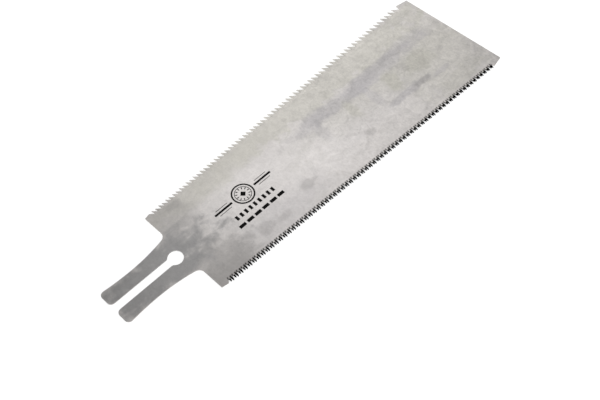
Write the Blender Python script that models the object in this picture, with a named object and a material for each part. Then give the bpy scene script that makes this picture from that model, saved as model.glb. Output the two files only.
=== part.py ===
# Blade of a double-edged pull saw: one stamped sheet of spring steel with a coarse, graduated
# rip edge, a fine crosscut edge, and a forked tang with a keyhole that a handle clamps.
# The blade lies flat. +X runs from the tang to the toe, +Y is the rip edge and +Z is up.
import math

import bmesh
import bpy
from mathutils import Vector, kdtree

# Driving dimensions in metres. Places along X are measured from the shoulder, towards the toe.
PLATE_LENGTH = 0.245         # shoulder to toe
TANG_LENGTH = 0.050          # shoulder to the ends of the prongs
HEEL_WIDTH = 0.0686          # across the tooth tips at the shoulder
TOE_WIDTH = 0.0859           # across the line of the tooth tips at the toe
THICKNESS = 0.0006
TOOTH_SET = 0.0002           # how far each tip leans out of the sheet, by turns up and down

# The plain ends of both edges lie a little below the line of the tips.
MARGIN_DROP = 0.0005         # beside the teeth
HEEL_CORNER_DROP = 0.0012
TOE_CORNER_DROP = 0.0024
TOE_MARGIN = 0.0090          # least plain length between the last tooth and the toe

# Crosscut edge: tall, nearly upright teeth, all alike, each with a sloping facet on its tip's toe side.
CROSSCUT_START = 0.0057      # first gullet
CROSSCUT_PITCH = 0.0254 / 15
CROSSCUT_DEPTH = 0.0027
CROSSCUT_TIP_LEAN = 0.00027  # tip towards the heel from the middle of its base
CROSSCUT_TIP_FLAT = 0.00030
CROSSCUT_FACET_RUN = 0.00067  # from the tip to the facet's foot, along the edge
CROSSCUT_FACET_DROP = 0.0008  # and in from the line of the tips
CROSSCUT_GULLET_FLAT = 0.00022
CROSSCUT_HEEL_FLANK = 0.0011  # length of the slope down to the first gullet
CROSSCUT_TOE_FLANK = 0.0005

# Rip edge: hooked teeth that grow from heel to toe. Shares are of each tooth's own pitch.
RIP_START = 0.00625          # first gullet
RIP_HEEL_PITCH = 0.00267
RIP_TOE_PITCH = 0.00406
RIP_DEPTH_SHARE = 1.16
RIP_HOOK_SHARE = 0.13        # tip towards the heel from its own gullet
RIP_TIP_FLAT_SHARE = 0.03
RIP_GULLET_FLAT_SHARE = 0.03
RIP_HEEL_FLANK_SHARE = 0.92

# Tang: two waisted prongs, a slot between them and a keyhole at its end.
WAIST_PLACE = 0.0293         # narrowest place, back from the shoulder
WAIST_HALF_WIDTH = 0.0119
SHOULDER_FLARE_RADIUS = 0.124
END_FLARE_RADIUS = 0.170
SHOULDER_FILLET = 0.0042
PRONG_CORNER = 0.00275
SLOT_WIDTH = 0.0051
KEYHOLE_RADIUS = 0.00475
KEYHOLE_WEB = 0.0004         # from the keyhole back to the line of the shoulder
NECK_FILLET = 0.0020

ARC_SAG = 1e-5               # most that a facet may cut inside a round
SAME_POINT = 1e-6            # two points closer than this are one
STEEL_COLOUR = (0.55, 0.54, 0.52, 1.0)
STEEL_ROUGHNESS = 0.35


def half_width(x):
    """Half the width across the line of the tooth tips, at x."""
    return (HEEL_WIDTH + (TOE_WIDTH - HEEL_WIDTH) * x / PLATE_LENGTH) / 2


def arc(centre, radius, first, last):
    """Points round a circle from the direction of one point to that of another, the short way."""
    start = math.atan2(first[1] - centre[1], first[0] - centre[0])
    turn = math.atan2(last[1] - centre[1], last[0] - centre[0]) - start
    turn = (turn + math.pi) % (2 * math.pi) - math.pi
    steps = math.ceil(abs(turn) / (2 * math.acos(1 - ARC_SAG / radius)))
    angles = [start + turn * i / steps for i in range(steps + 1)]
    return [(centre[0] + radius * math.cos(a), centre[1] + radius * math.sin(a)) for a in angles]


def along(centre, towards, distance):
    """The point at a distance from a centre, towards another point."""
    length = math.dist(centre, towards)
    return tuple(c + (t - c) * distance / length for c, t in zip(centre, towards))


def crosscut_teeth():
    """Each tooth as its gullets, tip place, depth, tip flat, gullet flat and facet feet."""
    count = round((PLATE_LENGTH - TOE_MARGIN - CROSSCUT_START) / CROSSCUT_PITCH)
    teeth = []
    for i in range(count):
        start = CROSSCUT_START + i * CROSSCUT_PITCH
        tip = start + CROSSCUT_PITCH / 2 - CROSSCUT_TIP_LEAN
        sizes = (CROSSCUT_DEPTH, CROSSCUT_TIP_FLAT, CROSSCUT_GULLET_FLAT)
        facet = [(CROSSCUT_FACET_RUN, CROSSCUT_FACET_DROP)]
        teeth.append((start, start + CROSSCUT_PITCH, tip, *sizes, facet))
    return teeth


def rip_teeth():
    """As crosscut_teeth, with a pitch that grows evenly from tooth to tooth and no facet."""
    mean_pitch = (RIP_HEEL_PITCH + RIP_TOE_PITCH) / 2
    count = round((PLATE_LENGTH - TOE_MARGIN - RIP_START) / mean_pitch)
    teeth = []
    start = RIP_START
    for i in range(count):
        pitch = RIP_HEEL_PITCH + (RIP_TOE_PITCH - RIP_HEEL_PITCH) * i / (count - 1)
        tip = start - RIP_HOOK_SHARE * pitch
        shares = (RIP_DEPTH_SHARE, RIP_TIP_FLAT_SHARE, RIP_GULLET_FLAT_SHARE)
        teeth.append((start, start + pitch, tip, *(pitch * share for share in shares), []))
        start += pitch
    return teeth


def toothed_edge(teeth, heel_flank, toe_flank):
    """(edge points from heel to toe on the +Y side, each tooth's own points)."""
    first, last = teeth[0][0], teeth[-1][1]
    heel_rise = first - heel_flank
    toe_fall = last + toe_flank
    points = [
        (0.0, half_width(0) - HEEL_CORNER_DROP),
        (heel_rise, half_width(heel_rise) - MARGIN_DROP),
    ]
    shapes = []
    for start, end, tip, depth, tip_flat, gullet_flat, facet in teeth:
        base = [(x, half_width(x) - depth) for x in (start + gullet_flat / 2, end - gullet_flat / 2)]
        crown = [(x, half_width(x)) for x in (tip - tip_flat / 2, tip + tip_flat / 2)]
        crown += [(tip + run, half_width(tip + run) - drop) for run, drop in facet]
        shapes.append([base[0], *crown, base[1]])
        points.extend(shapes[-1])
    points.append((toe_fall, half_width(toe_fall) - MARGIN_DROP))
    points.append((PLATE_LENGTH, half_width(PLATE_LENGTH) - TOE_CORNER_DROP))
    return points, shapes


def half_tang():
    """The +Y half of the tang's outline, from the shoulder to the middle of the keyhole."""
    waist = (-WAIST_PLACE, WAIST_HALF_WIDTH)

    near = (waist[0], waist[1] + SHOULDER_FLARE_RADIUS)
    reach = SHOULDER_FLARE_RADIUS - SHOULDER_FILLET
    rise = math.sqrt(reach**2 - (near[0] + SHOULDER_FILLET) ** 2)
    fillet = (-SHOULDER_FILLET, near[1] - rise)
    fillet_end = along(near, fillet, SHOULDER_FLARE_RADIUS)

    far = (waist[0], waist[1] + END_FLARE_RADIUS)
    corner_x = PRONG_CORNER - TANG_LENGTH
    reach = END_FLARE_RADIUS + PRONG_CORNER
    rise = math.sqrt(reach**2 - (far[0] - corner_x) ** 2)
    outer = (corner_x, far[1] - rise)
    flare_end = along(far, outer, END_FLARE_RADIUS)
    inner = (corner_x, SLOT_WIDTH / 2 + PRONG_CORNER)

    keyhole = (-KEYHOLE_WEB - KEYHOLE_RADIUS, 0.0)
    neck_y = SLOT_WIDTH / 2 + NECK_FILLET
    reach = KEYHOLE_RADIUS + NECK_FILLET
    neck = (keyhole[0] - math.sqrt(reach**2 - neck_y**2), neck_y)
    neck_end = along(keyhole, neck, KEYHOLE_RADIUS)

    points = arc(fillet, SHOULDER_FILLET, (0.0, fillet[1]), fillet_end)
    points += arc(near, SHOULDER_FLARE_RADIUS, fillet_end, waist)[1:]
    points += arc(far, END_FLARE_RADIUS, waist, flare_end)[1:]
    points += arc(outer, PRONG_CORNER, flare_end, (-TANG_LENGTH, outer[1]))[1:]
    points += arc(inner, PRONG_CORNER, (-TANG_LENGTH, inner[1]), (inner[0], SLOT_WIDTH / 2))
    points += arc(neck, NECK_FILLET, (neck[0], SLOT_WIDTH / 2), neck_end)
    points += arc(keyhole, KEYHOLE_RADIUS, neck_end, (-KEYHOLE_WEB, 0.0))[1:]
    return points


def mirrored(points):
    """The points on the other side of the centre line, in the opposite order."""
    return [(x, -y) for x, y in reversed(points)]


def steel():
    material = bpy.data.materials.new("blade_steel")
    material.use_nodes = True
    shader = material.node_tree.nodes["Principled BSDF"]
    shader.inputs["Base Color"].default_value = STEEL_COLOUR
    shader.inputs["Metallic"].default_value = 1.0
    shader.inputs["Roughness"].default_value = STEEL_ROUGHNESS
    return material


def flat_sheet(name, outline, thickness, collection):
    """A mesh object of an outline's shape, its middle plane at height 0, as one closed body."""
    curve = bpy.data.curves.new(name, "CURVE")
    curve.dimensions = "2D"
    curve.fill_mode = "BOTH"
    curve.extrude = thickness / 2
    spline = curve.splines.new("POLY")
    spline.points.add(len(outline) - 1)
    for point, (x, y) in zip(spline.points, outline):
        point.co = (x, y, 0.0, 1.0)
    spline.use_cyclic_u = True
    drawn = bpy.data.objects.new(name, curve)
    collection.objects.link(drawn)
    graph = bpy.context.evaluated_depsgraph_get()
    mesh = bpy.data.meshes.new_from_object(drawn.evaluated_get(graph))
    matrix = drawn.matrix_world.copy()
    bpy.data.objects.remove(drawn)
    sheet = bpy.data.objects.new(name, mesh)
    sheet.matrix_world = matrix
    collection.objects.link(sheet)
    return sheet


def set_teeth(sheet, rows, lift):
    """Parts each tooth's faces from the plate along its base and leans its tip, by turns up and down."""
    body = bmesh.new()
    body.from_mesh(sheet.data)
    bmesh.ops.remove_doubles(body, verts=body.verts, dist=SAME_POINT)
    # One whole face takes the place of each side's many long triangles.
    sides = [face for face in body.faces if abs(face.normal.z) > 0.5]
    bmesh.ops.delete(body, geom=sides, context="FACES")
    bmesh.ops.holes_fill(body, edges=[edge for edge in body.edges if edge.is_boundary])
    bmesh.ops.recalc_face_normals(body, faces=body.faces)
    corners = list(body.verts)
    tree = kdtree.KDTree(len(corners))
    for i, corner in enumerate(corners):
        tree.insert((corner.co.x, corner.co.y, 0.0), i)
    tree.balance()

    def lower_and_upper(point):
        found = [corners[i] for _, i, _ in tree.find_range((*point, 0.0), SAME_POINT)]
        return sorted(found, key=lambda corner: corner.co.z)

    for row in rows:
        for i, (base_start, *crown, base_end) in enumerate(row):
            for pair in zip(lower_and_upper(base_start), lower_and_upper(base_end)):
                bmesh.ops.connect_verts(body, verts=pair)
            base = (base_start[1] + base_end[1]) / 2
            height = max(abs(y - base) for _, y in crown)
            for x, y in crown:
                lean = lift * abs(y - base) / height
                for corner in lower_and_upper((x, y)):
                    corner.co.z += lean if i % 2 == 0 else -lean
    bmesh.ops.triangulate(body, faces=body.faces, ngon_method="BEAUTY")
    body.to_mesh(sheet.data)
    body.free()


def build():
    for thing in list(bpy.data.objects):
        bpy.data.objects.remove(thing)
    collection = bpy.data.collections.new("pull_saw_blade")
    bpy.context.scene.collection.children.link(collection)

    fine, coarse = crosscut_teeth(), rip_teeth()
    rip_toe_flank = coarse[-1][2] - coarse[-1][0]
    crosscut, crosscut_shapes = toothed_edge(fine, CROSSCUT_HEEL_FLANK, CROSSCUT_TOE_FLANK)
    rip, rip_shapes = toothed_edge(coarse, RIP_HEEL_FLANK_SHARE * RIP_HEEL_PITCH, rip_toe_flank)
    tang = half_tang()
    outline = mirrored(crosscut[::-1]) + rip[::-1] + tang + mirrored(tang[:-1])

    blade = flat_sheet("saw_blade", outline, THICKNESS, collection)
    set_teeth(blade, [map(mirrored, crosscut_shapes), rip_shapes], TOOTH_SET)
    blade.location = Vector(((TANG_LENGTH - PLATE_LENGTH) / 2, 0.0, THICKNESS / 2 + TOOTH_SET))
    blade.data.materials.clear()
    blade.data.materials.append(steel())


build()
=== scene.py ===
import math
import bmesh
import bpy
from mathutils import Matrix, Vector


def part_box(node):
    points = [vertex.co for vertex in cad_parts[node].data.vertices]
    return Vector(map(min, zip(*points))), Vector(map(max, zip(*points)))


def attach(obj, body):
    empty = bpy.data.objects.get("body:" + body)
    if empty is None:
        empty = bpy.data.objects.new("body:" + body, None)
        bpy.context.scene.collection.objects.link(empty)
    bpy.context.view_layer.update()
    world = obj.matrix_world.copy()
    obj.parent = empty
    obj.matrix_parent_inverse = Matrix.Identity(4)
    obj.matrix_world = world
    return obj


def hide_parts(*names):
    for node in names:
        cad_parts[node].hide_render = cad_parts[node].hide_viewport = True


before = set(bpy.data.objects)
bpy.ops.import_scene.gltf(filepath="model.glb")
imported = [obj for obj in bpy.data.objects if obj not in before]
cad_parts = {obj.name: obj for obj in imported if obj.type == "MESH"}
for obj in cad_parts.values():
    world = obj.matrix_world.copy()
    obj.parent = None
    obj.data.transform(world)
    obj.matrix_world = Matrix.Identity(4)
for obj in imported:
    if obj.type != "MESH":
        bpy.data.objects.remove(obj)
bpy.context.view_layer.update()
print("frame loaded")

bladeLow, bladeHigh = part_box("saw_blade")
midSheet = (bladeLow.z + bladeHigh.z) / 2      # the teeth are set the same amount on both sides

blade = {
    "plate": 0.245,               # shoulder to toe
    "tang": 0.050,
    "heelWidth": 0.0686,          # across the lines of the tooth tips
    "toeWidth": 0.0859,
    "sheet": 0.0006,
    "marginDrop": 0.0005,         # plain stretches lie inside the tip line
    "heelCornerDrop": 0.0012,
    "toeCornerDrop": 0.0024,
    "edgeBreak": 0.00007,         # stoned edges of tang, shoulders and toe
    "waistPlace": 0.0293,
    "waistHalf": 0.0119,
    "shoulderFlare": 0.124,
    "endFlare": 0.170,
    "shoulderFillet": 0.0042,
    "prongCorner": 0.00275,
    "slot": 0.0051,
    "keyhole": 0.00475,
    "keyholeWeb": 0.0004,
    "neckFillet": 0.0020,
    "arcStep": math.radians(6),
    "flareStep": math.radians(0.8),
    "smoothUnder": math.radians(20),
    "flatFrom": 0.98,             # a face is flat when its normal stands up at least this much
}
shoulderX = bladeLow.x + blade["tang"]
slope = (blade["toeWidth"] - blade["heelWidth"]) / 2 / blade["plate"]
topFace = midSheet + blade["sheet"] / 2

crosscut = {
    "side": -1,
    "start": 0.0057,
    "firstPitch": 0.0254 / 15,
    "lastPitch": 0.0254 / 15,
    "count": 136,
    "depth": 0.0027,              # this and the next three are for a tooth of the first pitch
    "tip": 0.00058,               # from the tooth's own gullet towards the toe
    "tipFlat": 0.00030,
    "facetFoot": (0.00125, 0.0008),    # where the sloping facet meets the toe flank: along, and in
    "gulletFlat": 0.00022,
    "heelMargin": 0.0011,
    "toeMargin": 0.0005,
    "innerFace": 0.58,            # how much of a tooth the file leaves on its inner face
    "set": 0.0002,
}

rip = {
    "side": 1,
    "start": 0.00625,
    "firstPitch": 0.00267,
    "lastPitch": 0.00406,
    "count": 68,
    "depth": 0.0030972,
    "tip": -0.0003471,            # hooked back over the gullet
    "tipFlat": 0.0000801,
    "facetFoot": None,
    "gulletFlat": 0.0000801,
    "heelMargin": 0.0024564,
    "toeMargin": 0.0005,
    "innerFace": 0.92,
    "set": 0.0002,
}


def vertsOf(made):
    return [g for g in made if isinstance(g, bmesh.types.BMVert)]


def arc(bm, vert, centre, towards, step):
    # the short way round, to the direction of a second point
    start = math.atan2(vert.co.y - centre[1], vert.co.x - centre[0])
    turn = math.atan2(towards[1] - centre[1], towards[0] - centre[0]) - start
    turn = (turn + math.pi) % math.tau - math.pi
    steps = max(2, math.ceil(abs(turn) / step))
    spun = bmesh.ops.spin(bm, geom=[vert], cent=(*centre, 0), axis=(0, 0, 1), angle=turn, steps=steps)
    return vertsOf(spun["geom_last"])[0]


def lineTo(bm, vert, x, y):
    end = bm.verts.new((x, y, 0))
    bm.edges.new((vert, end))
    return end


def tangOutline(bm):
    # the +Y half, from the shoulder round a prong to the middle of the keyhole, then mirrored
    b = blade
    near = (-b["waistPlace"], b["waistHalf"] + b["shoulderFlare"])
    reach = b["shoulderFlare"] - b["shoulderFillet"]
    rise = math.sqrt(reach**2 - (near[0] + b["shoulderFillet"])**2)
    fillet = (-b["shoulderFillet"], near[1] - rise)
    far = (near[0], b["waistHalf"] + b["endFlare"])
    cornerX = b["prongCorner"] - b["tang"]
    reach = b["endFlare"] + b["prongCorner"]
    outer = (cornerX, far[1] - math.sqrt(reach**2 - (far[0] - cornerX)**2))
    inner = (cornerX, b["slot"] / 2 + b["prongCorner"])
    keyhole = (-b["keyholeWeb"] - b["keyhole"], 0)
    neckY = b["slot"] / 2 + b["neckFillet"]
    reach = b["keyhole"] + b["neckFillet"]
    neck = (keyhole[0] - math.sqrt(reach**2 - neckY**2), neckY)

    shoulder = bm.verts.new((0, fillet[1], 0))
    away = (2 * fillet[0] - near[0], 2 * fillet[1] - near[1])      # the fillet meets the flare from inside
    vert = arc(bm, shoulder, fillet, away, b["arcStep"])
    vert = arc(bm, vert, near, (near[0], 0), b["flareStep"])
    vert = arc(bm, vert, far, outer, b["flareStep"])
    vert = arc(bm, vert, outer, (outer[0] - 1, outer[1]), b["arcStep"])
    vert = lineTo(bm, vert, -b["tang"], inner[1])
    vert = arc(bm, vert, inner, (inner[0], 0), b["arcStep"])
    vert = lineTo(bm, vert, neck[0], b["slot"] / 2)
    vert = arc(bm, vert, neck, keyhole, b["arcStep"])
    arc(bm, vert, keyhole, (0, 0), b["arcStep"])
    bmesh.ops.mirror(bm, geom=bm.verts[:] + bm.edges[:], matrix=Matrix.Identity(4), merge_dist=1e-6,
                     axis="Y")
    shoulders = [v for v in bm.verts if abs(v.co.x) < 1e-7]
    return sorted(shoulders, key=lambda v: v.co.y)


def toothRow(bm, row):
    # made straight along X with the tips on the axis, then laid along the flared edge
    depth, pitch, foot = row["depth"], row["firstPitch"], row["gulletFlat"] / 2
    heelTip, toeTip = row["tip"] - row["tipFlat"] / 2, row["tip"] + row["tipFlat"] / 2
    eased = 0.06                  # share of a flank taken up by the gullet's soft corner
    level = 0.4                   # share of the gullet's floor left flat between those corners
    facet = [(row["facetFoot"][0], -row["facetFoot"][1])] if row["facetFoot"] else []
    overX, overY = (facet or [(toeTip, 0)])[0]
    first = [bm.verts.new((x, y, 0)) for x, y in (
        (foot * level, -depth),
        (foot + (heelTip - foot) * eased, -depth * (1 - eased)),
        (heelTip, 0),
        (toeTip, 0),
        *facet,
        (pitch - foot + (overX - pitch + foot) * eased, -depth + (depth + overY) * eased),
        (pitch - foot * level, -depth),
    )]
    links = [bm.edges.new(pair) for pair in zip(first, first[1:])]
    teeth = []
    start = row["start"]
    for i in range(row["count"]):
        made = bmesh.ops.duplicate(bm, geom=first + links)["vert_map"]
        tooth = [made[v] for v in first]
        grown = 1 + (row["lastPitch"] / pitch - 1) * i / (row["count"] - 1)
        bmesh.ops.scale(bm, vec=(grown, grown, 1), verts=tooth)
        bmesh.ops.translate(bm, vec=(start, 0, 0), verts=tooth)
        if teeth:
            bm.edges.new((teeth[-1][-1], tooth[0]))
        teeth.append(tooth)
        start += pitch * grown
    bmesh.ops.delete(bm, geom=first, context="VERTS")

    heel = bm.verts.new((0, -blade["heelCornerDrop"], 0))
    rise = lineTo(bm, heel, row["start"] - row["heelMargin"], -blade["marginDrop"])
    bm.edges.new((rise, teeth[0][0]))
    fall = lineTo(bm, teeth[-1][-1], start + row["toeMargin"], -blade["marginDrop"])
    toe = lineTo(bm, fall, blade["plate"], -blade["toeCornerDrop"])
    flared = Matrix.Diagonal((1, row["side"], 1, 1)) @ Matrix((
        (1, 0, 0, 0), (slope, 1, 0, blade["heelWidth"] / 2), (0, 0, 1, 0), (0, 0, 0, 1)))
    laid = [v for tooth in teeth for v in tooth] + [heel, rise, fall, toe]
    bmesh.ops.transform(bm, matrix=flared, verts=laid)
    return teeth, heel, toe


def fileAndSet(bm, row, teeth, above):
    # the file leaves each tooth whole on the face it is bent towards, smaller on the other
    for i, tooth in enumerate(teeth):
        up = i % 2 == 0
        lower, upper = tooth, [above[v] for v in tooth]
        inner, outer = (lower, upper) if up else (upper, lower)
        lift = row["set"] if up else -row["set"]
        middle = (tooth[1].co + tooth[-2].co) / 2
        left = row["innerFace"]
        bmesh.ops.scale(bm, vec=(left, left, 1), space=Matrix.Translation(-middle), verts=inner)
        height = abs(outer[2].co.y - middle.y)
        for vert in outer[2:-2] + inner[2:-2]:
            share = abs(vert.co.y - middle.y) / height          # bent more, the nearer the tip
            bmesh.ops.translate(bm, vec=(0, 0, lift * share), verts=[vert])


def groundBlade(materials):
    bm = bmesh.new()
    shoulders = tangOutline(bm)
    rows = {}
    toes = []
    for row in (crosscut, rip):
        teeth, heel, toe = toothRow(bm, row)
        rows[row["side"]] = teeth
        bm.edges.new((shoulders[0] if row["side"] < 0 else shoulders[1], heel))
        toes.append(toe)
    bm.edges.new(toes)
    bmesh.ops.contextual_create(bm, geom=bm.edges[:])
    for teeth in rows.values():
        for tooth in teeth:
            bmesh.ops.connect_verts(bm, verts=[tooth[1], tooth[-2]])

    raised = bmesh.ops.extrude_face_region(bm, geom=bm.faces[:], use_keep_orig=True)["geom"]
    bmesh.ops.translate(bm, vec=(0, 0, blade["sheet"]), verts=vertsOf(raised))
    above = {}
    for edge in bm.edges:
        low, high = sorted(edge.verts, key=lambda v: v.co.z)
        if high.co.z - low.co.z > blade["sheet"] / 2:
            above[low] = high
    for row in (crosscut, rip):
        fileAndSet(bm, row, rows[row["side"]], above)
    bmesh.ops.recalc_face_normals(bm, faces=bm.faces[:])

    toothed = {v for teeth in rows.values() for tooth in teeth for low in tooth for v in (low, above[low])}
    rims = [e for e in bm.edges if len(e.link_faces) == 2 and not toothed & set(e.verts)
            and sorted(abs(f.normal.z) > 0.5 for f in e.link_faces) == [False, True]]
    bevelled = bmesh.ops.bevel(bm, geom=rims, affect="EDGES", offset=blade["edgeBreak"],
                               offset_type="OFFSET", segments=2, profile=0.5, material=-1,
                               clamp_overlap=True)
    for face in bevelled["faces"]:
        face.material_index = 1
    for face in bm.faces:
        face.smooth = abs(face.normal.z) < blade["flatFrom"] and not toothed & set(face.verts)
    for edge in bm.edges:
        edge.smooth = edge.calc_face_angle(0) < blade["smoothUnder"]
    bmesh.ops.translate(bm, vec=(shoulderX, 0, midSheet - blade["sheet"] / 2), verts=bm.verts[:])
    return newPiece("ground_blade", bm, materials)


def newObject(name, bm, materials):
    mesh = bpy.data.meshes.new(name)
    bm.to_mesh(mesh)
    bm.free()
    for material in materials:
        mesh.materials.append(material)
    made = bpy.data.objects.new(name, mesh)
    bpy.context.scene.collection.objects.link(made)
    return made


def newPiece(name, bm, materials):
    piece = newObject(name, bm, materials)
    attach(piece, "root")
    return piece


# the printed device: a ringed star between two bars, with two rows of blocks below
facePrint = {
    "film": 0.00002,
    "centre": (-0.0458, 0.0042),
    "ring": (0.0074, 0.0010),             # outer radius, width
    "innerRing": (0.0054, 0.0004),
    "rays": 12,
    "ray": (0.0041, 0.0011, 0.00038),     # place, half length, half width
    "core": 0.0021,
    "bar": (0.0068, 0.0007, 0.0157),      # half length, half width, place beside the centre
    "fine": (0.0046, 0.00018, 0.0021),    # thin rule above and below each bar
    # rows of blocks: count, step, place below, half length, half height
    "upperRow": (9, 0.0036, -0.0104, 0.0009, 0.0016),
    "lowerRow": (6, 0.0062, -0.0163, 0.0024, 0.0011),
}


def flatShape(bm, segments, radius, halfX, halfY, x, y, turn=0.0):
    # a capped circle of few sides, stretched and laid in place
    made = bmesh.ops.create_circle(bm, cap_ends=True, segments=segments, radius=radius)["verts"]
    if segments == 4:
        bmesh.ops.rotate(bm, cent=(0, 0, 0), matrix=Matrix.Rotation(turn, 3, "Z"), verts=made)
    bmesh.ops.scale(bm, vec=(halfX, halfY, 1), verts=made)
    bmesh.ops.translate(bm, vec=(x, y, 0), verts=made)
    return made


def block(bm, halfX, halfY, x, y):
    return flatShape(bm, 4, math.sqrt(2), halfX, halfY, x, y, math.pi / 4)


def ring(bm, radius, width, x, y, segments=72):
    made = flatShape(bm, segments, radius, 1, 1, x, y)
    disc = list(made[0].link_faces)
    bmesh.ops.inset_region(bm, faces=disc, thickness=width, use_boundary=True, use_even_offset=True)
    bmesh.ops.delete(bm, geom=disc, context="FACES")


def printedFace(material):
    p = facePrint
    bm = bmesh.new()
    x, y = p["centre"]
    ring(bm, *p["ring"], x, y)
    ring(bm, *p["innerRing"], x, y)
    place, halfX, halfY = p["ray"]
    ray = flatShape(bm, 4, 1, halfX, halfY, x + place, y)
    faces = list(ray[0].link_faces)
    bmesh.ops.spin(bm, geom=ray + faces, cent=(x, y, 0), axis=(0, 0, 1), use_duplicate=True,
                   angle=math.tau * (p["rays"] - 1) / p["rays"], steps=p["rays"] - 1)
    flatShape(bm, 4, p["core"], 1, 1, x, y)
    for side in (-1, 1):
        block(bm, p["bar"][0], p["bar"][1], x + side * p["bar"][2], y)
        for over in (-1, 1):
            block(bm, p["fine"][0], p["fine"][1], x + side * p["bar"][2], y + over * p["fine"][2])
    for count, step, below, halfX, halfY in (p["upperRow"], p["lowerRow"]):
        for i in range(count):
            block(bm, halfX, halfY, x + (i - (count - 1) / 2) * step, y + below)
    made = bmesh.ops.extrude_face_region(bm, geom=bm.faces[:], use_keep_orig=True)["geom"]
    bmesh.ops.translate(bm, vec=(0, 0, p["film"]), verts=vertsOf(made))
    bmesh.ops.recalc_face_normals(bm, faces=bm.faces[:])
    bmesh.ops.translate(bm, vec=(0, 0, topFace), verts=bm.verts[:])
    return newPiece("face_print", bm, [material])


# shader helpers: one node with its settings, and one wire
def put(tree, kind, inputs=None, **settings):
    node = tree.nodes.new(kind)
    for name, value in settings.items():
        setattr(node, name, value)
    for name, value in (inputs or {}).items():
        if isinstance(value, bpy.types.NodeSocket):
            tree.links.new(value, node.inputs[name])
        else:
            node.inputs[name].default_value = value
    return node


def maths(tree, operation, *values):
    return put(tree, "ShaderNodeMath", dict(enumerate(values)), operation=operation).outputs[0]


def centred(tree, value):
    return maths(tree, "SUBTRACT", value, 0.5)


def blendColour(tree, factor, first, second, mode="MIX"):
    node = put(tree, "ShaderNodeMix", {0: factor, 6: first, 7: second}, data_type="RGBA", blend_type=mode)
    return node.outputs[2]


def ramp(tree, value, low, high, toLow=0.0, toHigh=1.0):
    limits = {"Value": value, "From Min": low, "From Max": high, "To Min": toLow, "To Max": toHigh}
    return put(tree, "ShaderNodeMapRange", limits, interpolation_type="SMOOTHSTEP").outputs["Result"]


def bumped(tree, shader, height, strength, distance):
    bump = put(tree, "ShaderNodeBump", {"Height": height, "Strength": strength, "Distance": distance})
    tree.links.new(bump.outputs["Normal"], shader.inputs["Normal"])


def newGroup(name, inputs, outputs):
    tree = bpy.data.node_groups.new(name, "ShaderNodeTree")
    for socketName, kind, value in inputs:
        socket = tree.interface.new_socket(socketName, in_out="INPUT", socket_type=kind)
        if value is not None:
            socket.default_value = value
    for socketName, kind in outputs:
        tree.interface.new_socket(socketName, in_out="OUTPUT", socket_type=kind)
    return tree, tree.nodes.new("NodeGroupInput").outputs, tree.nodes.new("NodeGroupOutput").inputs


groupSettings = {
    "cloudRoughness": 0.58,       # how strong a cloud's finer levels are
    "grindStretch": 0.012,        # the grinding lines run along X
    "grindDetail": 3.0,
}


def cloudGroup():
    # soft uneven clouding, stretched along the blade
    tree, given, out = newGroup("clouding", [
        ("Vector", "NodeSocketVector", None),
        ("Size", "NodeSocketFloat", 50.0),
        ("Stretch", "NodeSocketVector", (1, 1, 1)),
        ("Detail", "NodeSocketFloat", 4.0),
        ("Twist", "NodeSocketFloat", 0.0),
    ], [("Value", "NodeSocketFloat")])
    laid = put(tree, "ShaderNodeVectorMath", {0: given["Vector"], 1: given["Stretch"]}, operation="MULTIPLY")
    noise = put(tree, "ShaderNodeTexNoise", {"Vector": laid.outputs[0], "Scale": given["Size"],
                                             "Detail": given["Detail"],
                                             "Roughness": groupSettings["cloudRoughness"],
                                             "Distortion": given["Twist"]})
    tree.links.new(noise.outputs["Fac"], out["Value"])
    return tree


def patchGroup():
    # one ragged patch, as a soft ellipse whose edge wanders; the same patch draws the staining, the painted
    # highlight and the painted shade
    tree, given, out = newGroup("stainAndPaintedLightPatch", [
        ("Vector", "NodeSocketVector", None),
        ("Centre", "NodeSocketVector", (0, 0, 0)),
        ("Reach", "NodeSocketVector", (0.02, 0.01, 1)),
        ("Wander", "NodeSocketFloat", 0.0),
        ("Soft", "NodeSocketFloat", 0.45),
    ], [("Mask", "NodeSocketFloat")])
    away = put(tree, "ShaderNodeVectorMath", {0: given["Vector"], 1: given["Centre"]}, operation="SUBTRACT")
    shares = put(tree, "ShaderNodeVectorMath", {0: away.outputs[0], 1: given["Reach"]}, operation="DIVIDE")
    flat = put(tree, "ShaderNodeVectorMath", {0: shares.outputs[0], 1: (1, 1, 0)}, operation="MULTIPLY")
    far = put(tree, "ShaderNodeVectorMath", {0: flat.outputs[0]}, operation="LENGTH").outputs["Value"]
    edge = maths(tree, "ADD", far, given["Wander"])
    outside = maths(tree, "ADD", 1.0, given["Soft"])
    mask = ramp(tree, edge, outside, maths(tree, "SUBTRACT", 1.0, given["Soft"]))
    tree.links.new(mask, out["Mask"])
    return tree


def grindGroup():
    # lengthwise grinding lines, as a height
    tree, given, out = newGroup("grindLines", [
        ("Vector", "NodeSocketVector", None),
        ("Fineness", "NodeSocketFloat", 9000.0),
    ], [("Height", "NodeSocketFloat")])
    stretch = (groupSettings["grindStretch"], 1, 1)
    laid = put(tree, "ShaderNodeVectorMath", {0: given["Vector"], 1: stretch}, operation="MULTIPLY")
    noise = put(tree, "ShaderNodeTexNoise", {"Vector": laid.outputs[0], "Scale": given["Fineness"],
                                             "Detail": groupSettings["grindDetail"]})
    tree.links.new(noise.outputs["Fac"], out["Height"])
    return tree


clouding, stainAndPaintedLightPatch, grindLines = cloudGroup(), patchGroup(), grindGroup()


def grouped(tree, group, **inputs):
    return put(tree, "ShaderNodeGroup", inputs, node_tree=group).outputs[0]


def clouded(tree, place, size, stretch=(1, 1, 1), detail=3.0, twist=0.0):
    return grouped(tree, clouding, Vector=place, Size=size, Stretch=stretch, Detail=detail, Twist=twist)


def newMaterial(name):
    material = bpy.data.materials.new(name)
    material.use_nodes = True
    tree = material.node_tree
    place = tree.nodes.new("ShaderNodeTexCoord").outputs["Object"]
    return material, tree, tree.nodes["Principled BSDF"], place


midCloud = (0.3, 0.7)             # where most of a cloud's values lie

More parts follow.
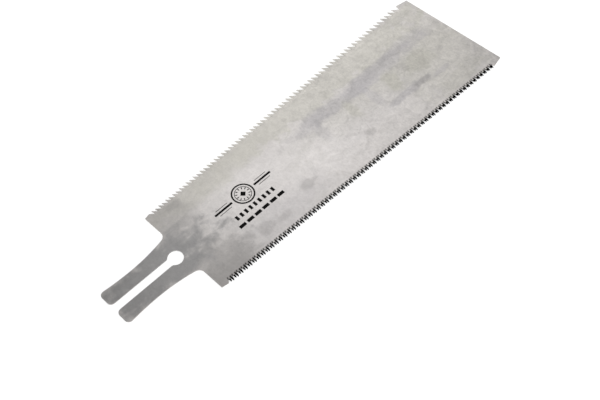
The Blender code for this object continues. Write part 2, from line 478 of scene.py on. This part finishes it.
steel = {
    "tone": (0.652, 0.624, 0.606),
    "warm": (0.606, 0.586, 0.540),
    "violet": (0.470, 0.452, 0.462),
    "brown": (0.360, 0.345, 0.335),
    # the tone of the painted highlight over the middle
    "pale": (0.735, 0.705, 0.690),
    "olive": (0.500, 0.486, 0.432),
    # the tone of the painted shade over the tang
    "slate": (0.350, 0.343, 0.341),
    # near black for the darkened crosscut teeth and for the painted shade strokes beside them
    "darkTeethAndShade": (0.004, 0.004, 0.004),
    "roughness": (0.345, 0.40),
    "darkTeethAndShadeRougher": 0.45,
    "mottling": {"soft": 0.62, "wiped": 0.43, "fine": 0.22},    # how deeply each cloud shades the steel
    "lively": (-0.02, 0.04, 0.75, 1.15),      # the toe half is livelier: between which X, from and to
    "shade": (0.87, 0.26),        # least, and what the broad cloud adds
    "wander": 2.0,                # how far the patches' edges stray
    "grind": 9000.0,
    "bump": (0.25, 0.00001),      # strength, distance
    "bumpCloud": 0.25,            # share of the soft cloud in the bump
}

# the plate's clouds: size, stretch, detail, twist
clouds = {
    "broad": (45.0, (0.5, 1, 1), 3.0),
    "soft": (170.0, (0.75, 1, 1), 5.0, 0.9),
    "wiped": (420.0, (1, 0.6, 1), 4.0, 1.4),
    "fine": (1100.0, (0.7, 1, 1), 3.0),
    "ragged": (150.0, (0.8, 1, 1), 6.0, 0.25),
}

# the plate's staining, and the highlight and shade painted on it: centre and reach in metres, which tone,
# how strongly, how soft the edge
stainsAndPaintedLight = [
    ((-0.020, -0.006), (0.062, 0.026), "pale", 0.85, 0.45),     # painted highlight: the middle made paler
    ((-0.052, 0.0265), (0.052, 0.0085), "warm", 0.75, 0.35),    # along the rip teeth
    ((0.052, 0.0300), (0.105, 0.0130), "warm", 0.80, 0.18),
    ((0.118, -0.004), (0.036, 0.034), "warm", 0.55, 0.45),      # toe
    ((0.116, -0.031), (0.020, 0.006), "olive", 0.26, 0.45),
    ((0.072, 0.0030), (0.062, 0.0150), "olive", 0.30, 0.60),    # the dull middle of the toe half
    ((0.062, -0.0100), (0.040, 0.0090), "violet", 0.16, 0.60),
    ((-0.040, -0.0235), (0.034, 0.0100), "violet", 0.34, 0.60),
    ((0.072, 0.0115), (0.060, 0.0055), "violet", 0.60, 0.40),   # the long band and what ran down from it
    ((0.023, 0.0125), (0.010, 0.0060), "violet", 0.50, 0.45),
    ((0.067, 0.0110), (0.014, 0.0060), "violet", 0.45, 0.45),
    ((0.112, 0.0155), (0.020, 0.0040), "violet", 0.35, 0.45),
    ((0.021, 0.001), (0.0040, 0.0085), "violet", 0.40, 0.40),
    ((0.047, 0.001), (0.0035, 0.0085), "olive", 0.50, 0.40),
    ((0.065, -0.001), (0.0035, 0.0095), "violet", 0.45, 0.40),
    ((0.083, -0.002), (0.0050, 0.0090), "olive", 0.60, 0.35),
    ((0.108, -0.003), (0.0105, 0.0080), "olive", 0.50, 0.40),
    ((0.0965, 0.0015), (0.0045, 0.0038), "brown", 0.40, 0.40),  # spots
    ((0.0415, -0.020), (0.0035, 0.0030), "brown", 0.40, 0.40),
    ((0.082, -0.0155), (0.018, 0.0028), "violet", 0.60, 0.35),
    ((0.0955, -0.0160), (0.0070, 0.0024), "brown", 0.48, 0.35),
    ((0.127, -0.0050), (0.0030, 0.0024), "brown", 0.30, 0.40),
    ((0.112, -0.0190), (0.0090, 0.0018), "violet", 0.45, 0.35),
    ((-0.0145, -0.019), (0.0060, 0.0030), "brown", 0.35, 0.40),
    ((-0.0530, -0.023), (0.0055, 0.0040), "brown", 0.35, 0.40),
    ((-0.0410, -0.025), (0.0060, 0.0022), "brown", 0.30, 0.40),
    ((-0.079, 0.028), (0.0060, 0.0022), "brown", 0.40, 0.40),
    ((-0.088, -0.023), (0.024, 0.020), "brown", 0.70, 0.45),    # painted shade: the heel darkened in a brown tone
    ((-0.092, -0.031), (0.018, 0.008), "brown", 0.50, 0.45),
    ((-0.091, 0.020), (0.018, 0.018), "brown", 0.42, 0.45),
    ((-0.092, 0.0), (0.016, 0.012), "brown", 0.12, 0.45),
    ((-0.118, 0.0), (0.040, 0.016), "slate", 0.95, 0.45),       # painted shade: the tang darkened to slate
]

# the darkened crosscut teeth, and the strokes of painted shade that run from them into the plate
darkening = {
    "toothEnd": 0.0023,           # in from the tip line
    # strokes of painted shade: centre at the tip line, lean, half width, start, end
    "longShadeStroke": (0.52, 0.17, 0.00050, 0.0014, 0.0036),
    "shortShadeStroke": (-0.19, 0.29, 0.00044, 0.0019, 0.0038),
    "longDepth": 0.97,
    "shortDepth": 0.80,
    "atToe": 0.88,
    "soften": 0.0002,             # half the run of a soft border
    "softenEnd": 0.0004,
    "strokeSides": (1.5, 0.4),    # where a stroke begins and is full, in half widths
}


def steelMaterial():
    material, tree, shader, place = newMaterial("satinSteel")
    cloud = {name: clouded(tree, place, *values) for name, values in clouds.items()}
    wander = maths(tree, "MULTIPLY", centred(tree, cloud["ragged"]), steel["wander"])
    colour = None
    # each patch mixed over the steel's tone: staining, painted highlight and painted shade
    for centre, reach, tone, strength, softness in stainsAndPaintedLight:
        mask = grouped(tree, stainAndPaintedLightPatch, Vector=place, Centre=(*centre, 0), Reach=(*reach, 1), Wander=wander,
                       Soft=softness)
        mask = maths(tree, "MULTIPLY", mask, strength)
        colour = blendColour(tree, mask, colour or (*steel["tone"], 1), (*steel[tone], 1))
    uneven = 0.0
    for name, depth in steel["mottling"].items():
        uneven = maths(tree, "ADD", uneven, maths(tree, "MULTIPLY", centred(tree, cloud[name]), depth))
    along = put(tree, "ShaderNodeSeparateXYZ", {0: place}).outputs["X"]
    uneven = maths(tree, "MULTIPLY", uneven, ramp(tree, along, *steel["lively"]))
    leastShade, broadShade = steel["shade"]
    shade = maths(tree, "ADD", maths(tree, "MULTIPLY", cloud["broad"], broadShade), leastShade)
    shade = maths(tree, "ADD", uneven, shade)
    grey = put(tree, "ShaderNodeCombineColor", {0: shade, 1: shade, 2: shade}).outputs[0]
    colour = blendColour(tree, 1.0, colour, grey, "MULTIPLY")
    # near black over the darkened crosscut teeth and the painted shade strokes, which are also rougher
    darkTeethAndShade = darkTeethAndShadeStrokes(tree, place)
    colour = blendColour(tree, darkTeethAndShade, colour, (*steel["darkTeethAndShade"], 1))
    tree.links.new(colour, shader.inputs["Base Color"])
    satin = ramp(tree, cloud["soft"], *midCloud, *steel["roughness"])
    rougher = maths(tree, "MULTIPLY", darkTeethAndShade, steel["darkTeethAndShadeRougher"])
    tree.links.new(maths(tree, "ADD", satin, rougher), shader.inputs["Roughness"])
    ground = grouped(tree, grindLines, Vector=place, Fineness=steel["grind"])
    height = maths(tree, "ADD", ground, maths(tree, "MULTIPLY", cloud["soft"], steel["bumpCloud"]))
    bumped(tree, shader, height, *steel["bump"])
    shader.inputs["Metallic"].default_value = 1.0
    return material


def paintedShadeStroke(tree, along, inside, centre, lean, halfWidth, start, end):
    # one slanted stroke of painted shade for each pair of crosscut teeth, its centre given as a share of the
    # pair
    pair = 2 * crosscut["firstPitch"]
    leaned = maths(tree, "SUBTRACT", along, maths(tree, "MULTIPLY", inside, lean))
    first = crosscut["start"] + (centre - 0.5) * pair
    turn = maths(tree, "DIVIDE", maths(tree, "SUBTRACT", leaned, first), pair)
    beside = maths(tree, "ABSOLUTE", centred(tree, maths(tree, "FRACT", turn)))
    outer, full = darkening["strokeSides"]
    across = ramp(tree, beside, halfWidth * outer / pair, halfWidth * full / pair)
    begun = ramp(tree, inside, start - darkening["soften"], start + darkening["soften"])
    ended = ramp(tree, inside, end + darkening["softenEnd"], end - darkening["softenEnd"])
    return maths(tree, "MULTIPLY", across, maths(tree, "MULTIPLY", begun, ended))


def darkTeethAndShadeStrokes(tree, place):
    # the crosscut teeth are darkened to near black over their outer part, and slanted strokes of painted
    # shade run on from them into the plate where the filed gullet bevels and the set bends turn from the
    # light
    split = put(tree, "ShaderNodeSeparateXYZ", {0: place})
    along = maths(tree, "SUBTRACT", split.outputs["X"], shoulderX)
    fromAxis = maths(tree, "ADD", maths(tree, "MULTIPLY", along, slope), blade["heelWidth"] / 2)
    inside = maths(tree, "ADD", fromAxis, split.outputs["Y"])            # distance in from the tip line
    last = crosscut["start"] + crosscut["count"] * crosscut["firstPitch"]
    within = maths(tree, "MULTIPLY", maths(tree, "GREATER_THAN", along, crosscut["start"]),
                   maths(tree, "LESS_THAN", along, last))
    toothEnd, soften = darkening["toothEnd"], darkening["soften"]
    teeth = ramp(tree, inside, toothEnd + soften, toothEnd - soften)
    fade = ramp(tree, along, 0.0, blade["plate"], 1.0, darkening["atToe"])
    long = paintedShadeStroke(tree, along, inside, *darkening["longShadeStroke"])
    short = paintedShadeStroke(tree, along, inside, *darkening["shortShadeStroke"])
    shadeStrokes = maths(tree, "MAXIMUM", maths(tree, "MULTIPLY", long, darkening["longDepth"]),
                  maths(tree, "MULTIPLY", short, darkening["shortDepth"]))
    shadeStrokes = maths(tree, "MULTIPLY", shadeStrokes, fade)
    return maths(tree, "MULTIPLY", maths(tree, "MAXIMUM", teeth, shadeStrokes), within)


stonedEdge = {
    "tones": ((0.60, 0.585, 0.57, 1), (0.80, 0.785, 0.765, 1)),
    "roughness": (0.26, 0.40),
    "cloud": 600.0,
}


def brightEdgeMaterial():
    material, tree, shader, place = newMaterial("stonedEdge")
    soft = clouded(tree, place, stonedEdge["cloud"])
    tree.links.new(blendColour(tree, soft, *stonedEdge["tones"]), shader.inputs["Base Color"])
    tree.links.new(ramp(tree, soft, *midCloud, *stonedEdge["roughness"]), shader.inputs["Roughness"])
    shader.inputs["Metallic"].default_value = 1.0
    return material


ink = {
    "tones": ((0.003, 0.003, 0.003, 1), (0.010, 0.0095, 0.009, 1)),
    "worn": (0.4, 0.75),          # between which cloud values the ink turns paler
    "roughness": (0.58, 0.74),
    "specular": 0.08,
    "bump": (0.2, 0.000005),      # strength, distance
    "cloud": (900.0, (1, 1, 1), 5.0),
}


def inkMaterial():
    material, tree, shader, place = newMaterial("blackPrint")
    soft = clouded(tree, place, *ink["cloud"])
    worn = ramp(tree, soft, *ink["worn"])
    tree.links.new(blendColour(tree, worn, *ink["tones"]), shader.inputs["Base Color"])
    tree.links.new(ramp(tree, soft, *midCloud, *ink["roughness"]), shader.inputs["Roughness"])
    shader.inputs["Specular IOR Level"].default_value = ink["specular"]
    bumped(tree, shader, soft, *ink["bump"])
    return material


bladePiece = groundBlade([steelMaterial(), brightEdgeMaterial()])
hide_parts("saw_blade")
print("blade ground, filed and set")
printedFace(inkMaterial())
print("face printed")

studio = {
    "floorHalf": 0.85,
    "floorTones": ((0.90, 0.90, 0.90, 1), (0.92, 0.92, 0.92, 1)),
    "floorCloud": (2.0, (1, 1, 1), 2.0),
    "floorRoughness": 0.9,
    "floorGlow": 0.45,            # brings the floor up to white under these soft lamps
    "camera": (-0.2229, -0.2294, 0.4111),
    "view": (0.3944, 0.4118, -0.8215),
    "up": (0.5995, 0.5622, 0.5697),
    "lens": 50.79,                # on a sensor 36 mm wide
    "sensor": 36,
    "nearest": 0.01,
    "sky": 0.30,
}

# name, place, width and height, power, aimed at
lamps = [
    ("softboxToe", (0.50, 0.52, 0.80), (0.76, 0.90), 1.80, (0.03, 0.0, 0.0)),
    ("fillHeel", (-1.3, -1.0, 1.6), (3.0, 3.0), 27.0, (0.0, 0.0, 0.0)),
    ("fillSide", (0.9, -1.9, 1.7), (2.4, 2.4), 18.0, (0.0, 0.0, 0.0)),
]


def floorMaterial():
    material, tree, shader, place = newMaterial("paleFloor")
    cloud = clouded(tree, place, *studio["floorCloud"])
    tree.links.new(blendColour(tree, cloud, *studio["floorTones"]), shader.inputs["Base Color"])
    shader.inputs["Roughness"].default_value = studio["floorRoughness"]
    shader.inputs["Emission Color"].default_value = (1, 1, 1, 1)
    shader.inputs["Emission Strength"].default_value = studio["floorGlow"]
    return material


def layFloor():
    bm = bmesh.new()
    bmesh.ops.create_grid(bm, x_segments=1, y_segments=1, size=studio["floorHalf"])
    floor = newObject("floor", bm, [floorMaterial()])


def aimed(direction, up):
    back = -Vector(direction).normalized()
    right = Vector(up).cross(back).normalized()
    return Matrix((right, back.cross(right), back)).transposed().to_4x4()


def lightStudio():
    for name, place, size, power, target in lamps:
        lamp = bpy.data.lights.new(name, "AREA")
        lamp.shape = "RECTANGLE"
        lamp.size, lamp.size_y = size
        lamp.energy = power
        light = bpy.data.objects.new(name, lamp)
        light.matrix_world = Matrix.Translation(place) @ aimed(Vector(target) - Vector(place), (0, 0, 1))
        bpy.context.scene.collection.objects.link(light)
    world = bpy.data.worlds.new("paleRoom")
    world.use_nodes = True
    tree = world.node_tree
    lit = tree.nodes["Background"]
    lit.inputs["Color"].default_value = (1, 1, 1, 1)
    lit.inputs["Strength"].default_value = studio["sky"]
    # the room itself looks white, and lights the blade less
    seen = put(tree, "ShaderNodeBackground", {"Color": (1, 1, 1, 1), "Strength": 1.0})
    path = put(tree, "ShaderNodeLightPath")
    both = put(tree, "ShaderNodeMixShader", {0: path.outputs["Is Camera Ray"], 1: lit.outputs[0],
                                             2: seen.outputs[0]})
    tree.links.new(both.outputs[0], tree.nodes["World Output"].inputs["Surface"])
    bpy.context.scene.world = world
    bpy.context.scene.view_settings.view_transform = "Standard"


def setCamera():
    lens = bpy.data.cameras.new("camera")
    lens.lens = studio["lens"]
    lens.sensor_width = studio["sensor"]
    lens.clip_start = studio["nearest"]
    camera = bpy.data.objects.new("camera", lens)
    camera.matrix_world = Matrix.Translation(studio["camera"]) @ aimed(studio["view"], studio["up"])
    bpy.context.scene.collection.objects.link(camera)
    bpy.context.scene.camera = camera


layFloor()
lightStudio()
setCamera()
print("studio ready")
